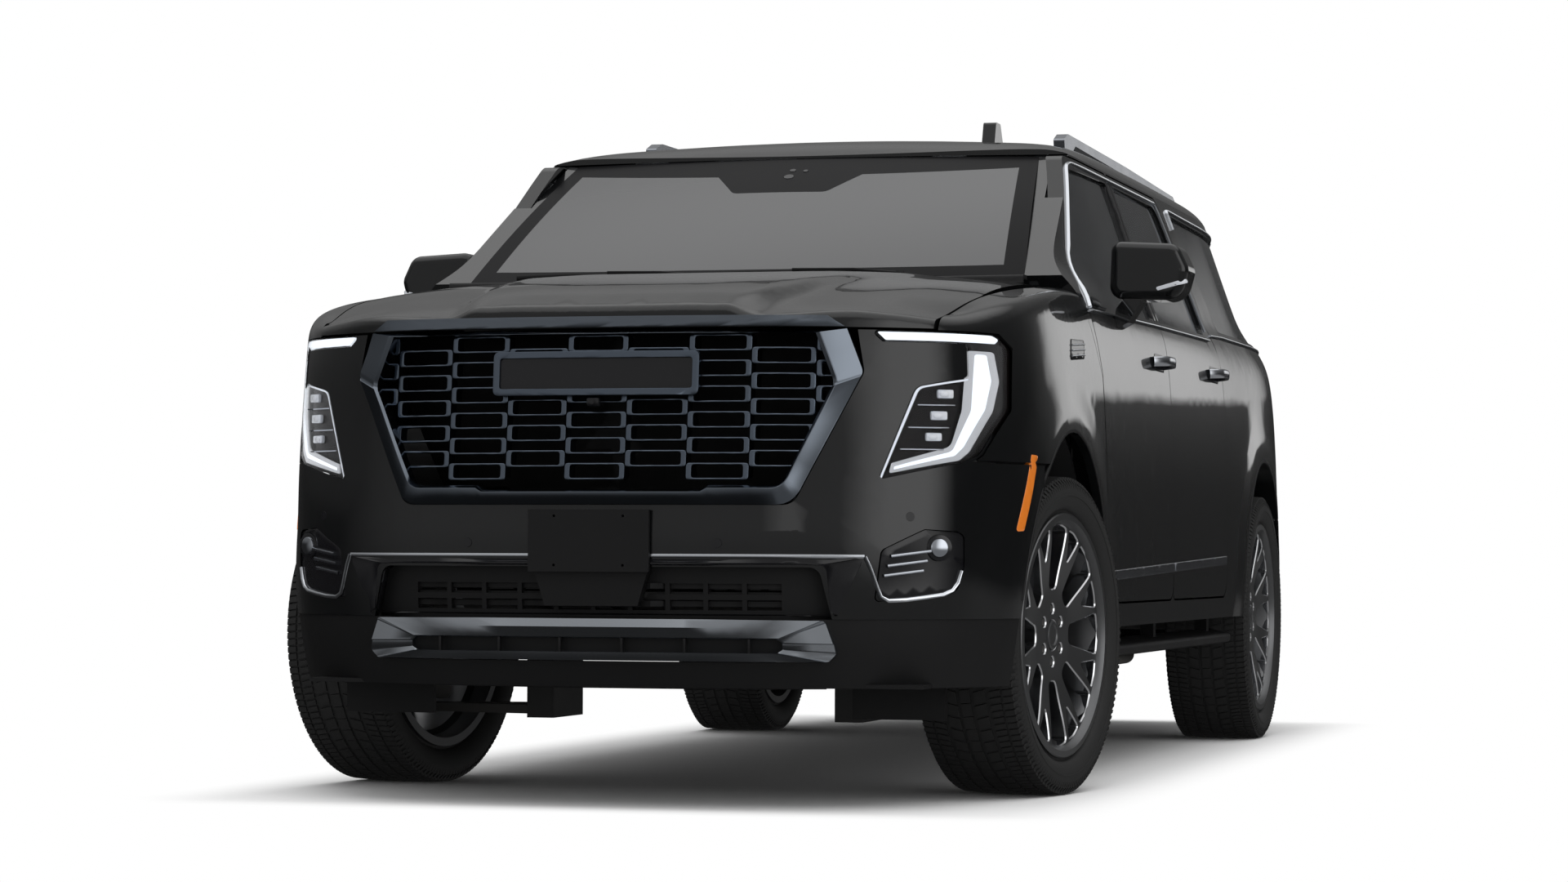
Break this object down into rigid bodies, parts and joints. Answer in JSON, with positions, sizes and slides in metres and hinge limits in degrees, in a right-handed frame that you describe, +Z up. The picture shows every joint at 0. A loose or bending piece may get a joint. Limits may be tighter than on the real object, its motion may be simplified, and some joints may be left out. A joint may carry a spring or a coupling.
{
  "type": "sport utility vehicle",
  "caption": "Large family SUV with hinged doors, hood and liftgate, a wide framed grille, steered front wheels and turning wheels on a ladder frame.",
  "frame": {"origin": "centre of the bounding box at the ground", "axes": "+Z up, the front faces -Y, +X is the vehicle's left side"},
  "size_m": [2.363, 5.7347, 1.9477],
  "materials": {
    "body_paint": "gloss",
    "dark_chrome": "satin",
    "dark_plastic": "matte",
    "silver_plastic": "satin",
    "glass": "clear",
    "lamp": "clear",
    "tail_lamp": "clear",
    "tyre": "matte",
    "rim": "satin",
    "chassis": "matte",
    "iron": "matte",
    "steel": "satin",
    "leather": "matte"
  },
  "bodies": {
    "vehicle_body": {"air_dam": "dark_plastic", "antenna": "body_paint", "body_side_left": "body_paint", "body_side_right": "body_paint", "bumper_blade": "silver_plastic", "cowl": "dark_plastic", "dashboard": "dark_plastic", "exhaust": "steel", "floor_pan": "chassis", "fog_lamps": "lamp", "front_bumper": "body_paint", "front_fender_left": "body_paint", "front_fender_right": "body_paint", "front_lamps": "lamp", "front_seats": "leather", "front_suspension": "chassis", "fuel_tank": "steel", "grille": "dark_chrome", "grille_frame": "dark_chrome", "ladder_frame": "chassis", "lower_grille": "dark_plastic", "middle_seats": "leather", "plate_bracket": "dark_plastic", "powertrain": "iron", "propeller_shaft": "steel", "quarter_glass": "glass", "rear_axle": "chassis", "rear_bumper": "body_paint", "rear_seats": "leather", "roof": "body_paint", "roof_rails": "silver_plastic", "side_steps": "dark_plastic", "steering_wheel": "dark_plastic", "tail_lamps": "tail_lamp", "wheelhouse_liners": "dark_plastic", "windshield": "glass"},
    "front_door_left": {"front_door_left": "body_paint", "front_door_glass_left": "glass", "mirror_left": "body_paint"},
    "front_door_right": {"front_door_right": "body_paint", "front_door_glass_right": "glass", "mirror_right": "body_paint"},
    "rear_door_left": {"rear_door_left": "body_paint", "rear_door_glass_left": "glass"},
    "rear_door_right": {"rear_door_right": "body_paint", "rear_door_glass_right": "glass"},
    "hood": {"hood": "body_paint", "hood_bar": "dark_chrome"},
    "liftgate": {"liftgate": "body_paint", "liftgate_glass": "glass"},
    "knuckle_left": {"knuckle_left": "iron"},
    "knuckle_right": {"knuckle_right": "iron"},
    "wheel_front_left": {"tyre_front_left": "tyre", "rim_front_left": "rim"},
    "wheel_front_right": {"tyre_front_right": "tyre", "rim_front_right": "rim"},
    "wheel_rear_left": {"tyre_rear_left": "tyre", "rim_rear_left": "rim"},
    "wheel_rear_right": {"tyre_rear_right": "tyre", "rim_rear_right": "rim"}
  },
  "joints": [
    {"name": "front_door_left_hinge", "type": "hinge", "parent": "vehicle_body", "child": "front_door_left", "pos_m": [1.019, -1.456, 1], "axis": [0, 0, -1], "range_deg": [0, 66]},
    {"name": "front_door_right_hinge", "type": "hinge", "parent": "vehicle_body", "child": "front_door_right", "pos_m": [-1.019, -1.456, 1], "axis": [0, 0, 1], "range_deg": [0, 66]},
    {"name": "rear_door_left_hinge", "type": "hinge", "parent": "vehicle_body", "child": "rear_door_left", "pos_m": [1.021, -0.293, 1], "axis": [0, 0, -1], "range_deg": [0, 68]},
    {"name": "rear_door_right_hinge", "type": "hinge", "parent": "vehicle_body", "child": "rear_door_right", "pos_m": [-1.021, -0.293, 1], "axis": [0, 0, 1], "range_deg": [0, 68]},
    {"name": "hood_hinge", "type": "hinge", "parent": "vehicle_body", "child": "hood", "pos_m": [0, -1.645, 1.409], "axis": [-1, 0, 0], "range_deg": [0, 50]},
    {"name": "liftgate_hinge", "type": "hinge", "parent": "vehicle_body", "child": "liftgate", "pos_m": [0, 2.473, 1.868], "axis": [1, 0, 0], "range_deg": [0, 82]},
    {"name": "steer_left", "type": "hinge", "parent": "vehicle_body", "child": "knuckle_left", "pos_m": [0.8, -1.85, 0.419], "axis": [0, 0, 1], "range_deg": [-24, 40]},
    {"name": "steer_right", "type": "hinge", "parent": "vehicle_body", "child": "knuckle_right", "pos_m": [-0.8, -1.85, 0.419], "axis": [0, 0, 1], "range_deg": [-24, 40]},
    {"name": "wheel_front_left_spin", "type": "hinge", "parent": "knuckle_left", "child": "wheel_front_left", "pos_m": [0.86667, -1.86056, 0.419], "axis": [0.9877, -0.1564, 0], "continuous": true},
    {"name": "wheel_front_right_spin", "type": "hinge", "parent": "knuckle_right", "child": "wheel_front_right", "pos_m": [-0.86667, -1.83944, 0.419], "axis": [0.9877, -0.1564, 0], "continuous": true},
    {"name": "wheel_rear_left_spin", "type": "hinge", "parent": "vehicle_body", "child": "wheel_rear_left", "pos_m": [0.8675, 1.557, 0.419], "axis": [1, 0, 0], "continuous": true},
    {"name": "wheel_rear_right_spin", "type": "hinge", "parent": "vehicle_body", "child": "wheel_rear_right", "pos_m": [-0.8675, 1.557, 0.419], "axis": [1, 0, 0], "continuous": true}
  ],
  "couplings": [
    {"joint": "steer_right", "follows": "steer_left", "ratio": 1}
  ]
}
